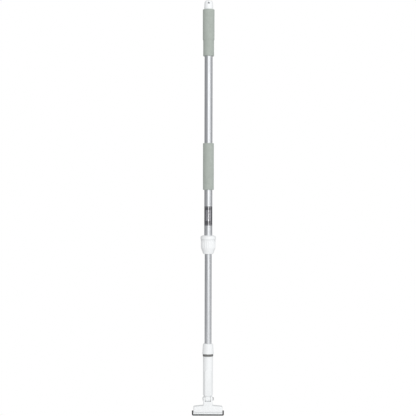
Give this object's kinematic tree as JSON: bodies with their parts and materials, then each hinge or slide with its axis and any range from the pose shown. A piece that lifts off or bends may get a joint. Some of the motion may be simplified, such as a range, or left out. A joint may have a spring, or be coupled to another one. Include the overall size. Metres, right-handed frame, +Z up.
{
  "type": "window squeegee",
  "caption": "Window squeegee with a tilting rubber blade head on a two-part telescopic aluminium pole with a twist lock, a coupling nut, foam grips and a hanging cap.",
  "frame": {"origin": "middle of the blade's wiping edge, which is also the middle of the bounding box's bottom face", "axes": "+Z up the pole from the blade to the hanging cap, +X along the blade, -Y towards the front"},
  "size_m": [0.088, 0.042, 1.141],
  "materials": {
    "white_plastic": "injection moulded, satin gloss",
    "aluminium": "drawn tube, clear anodised",
    "foam": "closed-cell foam sleeve, matte skin",
    "label_film": "glossy printed film",
    "seal_rubber": "moulded, matte",
    "blade_rubber": "extruded, satin",
    "steel": "nickel plated",
    "nylon": "natural, moulded"
  },
  "bodies": {
    "upper_pole": {"hanging_cap": "white_plastic", "cap_pin": "steel", "upper_tube": "aluminium", "top_grip": "foam", "middle_grip": "foam", "pole_label": "label_film", "lock_body": "white_plastic", "tube_bush": "nylon"},
    "collet": {"lock_collet": "nylon"},
    "lock_nut": {"lock_nut": "white_plastic"},
    "guide_ring": {"guide_ring": "nylon"},
    "lower_pole": {"lower_tube": "aluminium", "guide_plug": "nylon", "spigot": "nylon", "spigot_pin": "steel"},
    "coupling_nut": {"coupling_nut": "white_plastic"},
    "handle": {"handle": "white_plastic", "coupling_seal": "seal_rubber"},
    "head": {"head_body": "white_plastic", "blade_channel": "white_plastic", "rubber_blade": "blade_rubber", "head_screws": "steel", "pivot_bolt": "steel", "pivot_sleeve_nut": "steel", "pivot_washers": "nylon"}
  },
  "joints": [
    {"name": "collet_press", "type": "slide", "parent": "upper_pole", "child": "collet", "axis": [0, 0, -1], "range_m": [0, 0.0031]},
    {"name": "lock_nut_turn", "type": "hinge", "parent": "collet", "child": "lock_nut", "pos_m": [0, 0, 0.4642], "axis": [0, 0, -1], "range_deg": [0, 270]},
    {"name": "pole_extend", "type": "slide", "parent": "upper_pole", "child": "guide_ring", "axis": [0, 0, -1], "range_m": [-0.24, 0.26]},
    {"name": "pole_swivel", "type": "hinge", "parent": "guide_ring", "child": "lower_pole", "pos_m": [0, 0, 0.815], "axis": [0, 0, 1], "continuous": true},
    {"name": "coupling_nut_turn", "type": "hinge", "parent": "lower_pole", "child": "coupling_nut", "pos_m": [0, 0, 0.1845], "axis": [0, 0, 1], "range_deg": [0, 362]},
    {"name": "handle_release", "type": "slide", "parent": "lower_pole", "child": "handle", "axis": [0, 0, -1], "range_m": [0, 0.006]},
    {"name": "head_tilt", "type": "hinge", "parent": "handle", "child": "head", "pos_m": [0, 0, 0.046], "axis": [1, 0, 0], "range_deg": [-70, 70]}
  ],
  "couplings": [
    {"joint": "collet_press", "follows": "lock_nut_turn", "m_per_rad": 0.00063662},
    {"joint": "coupling_nut_turn", "follows": "handle_release", "rad_per_m": 1047.2}
  ]
}
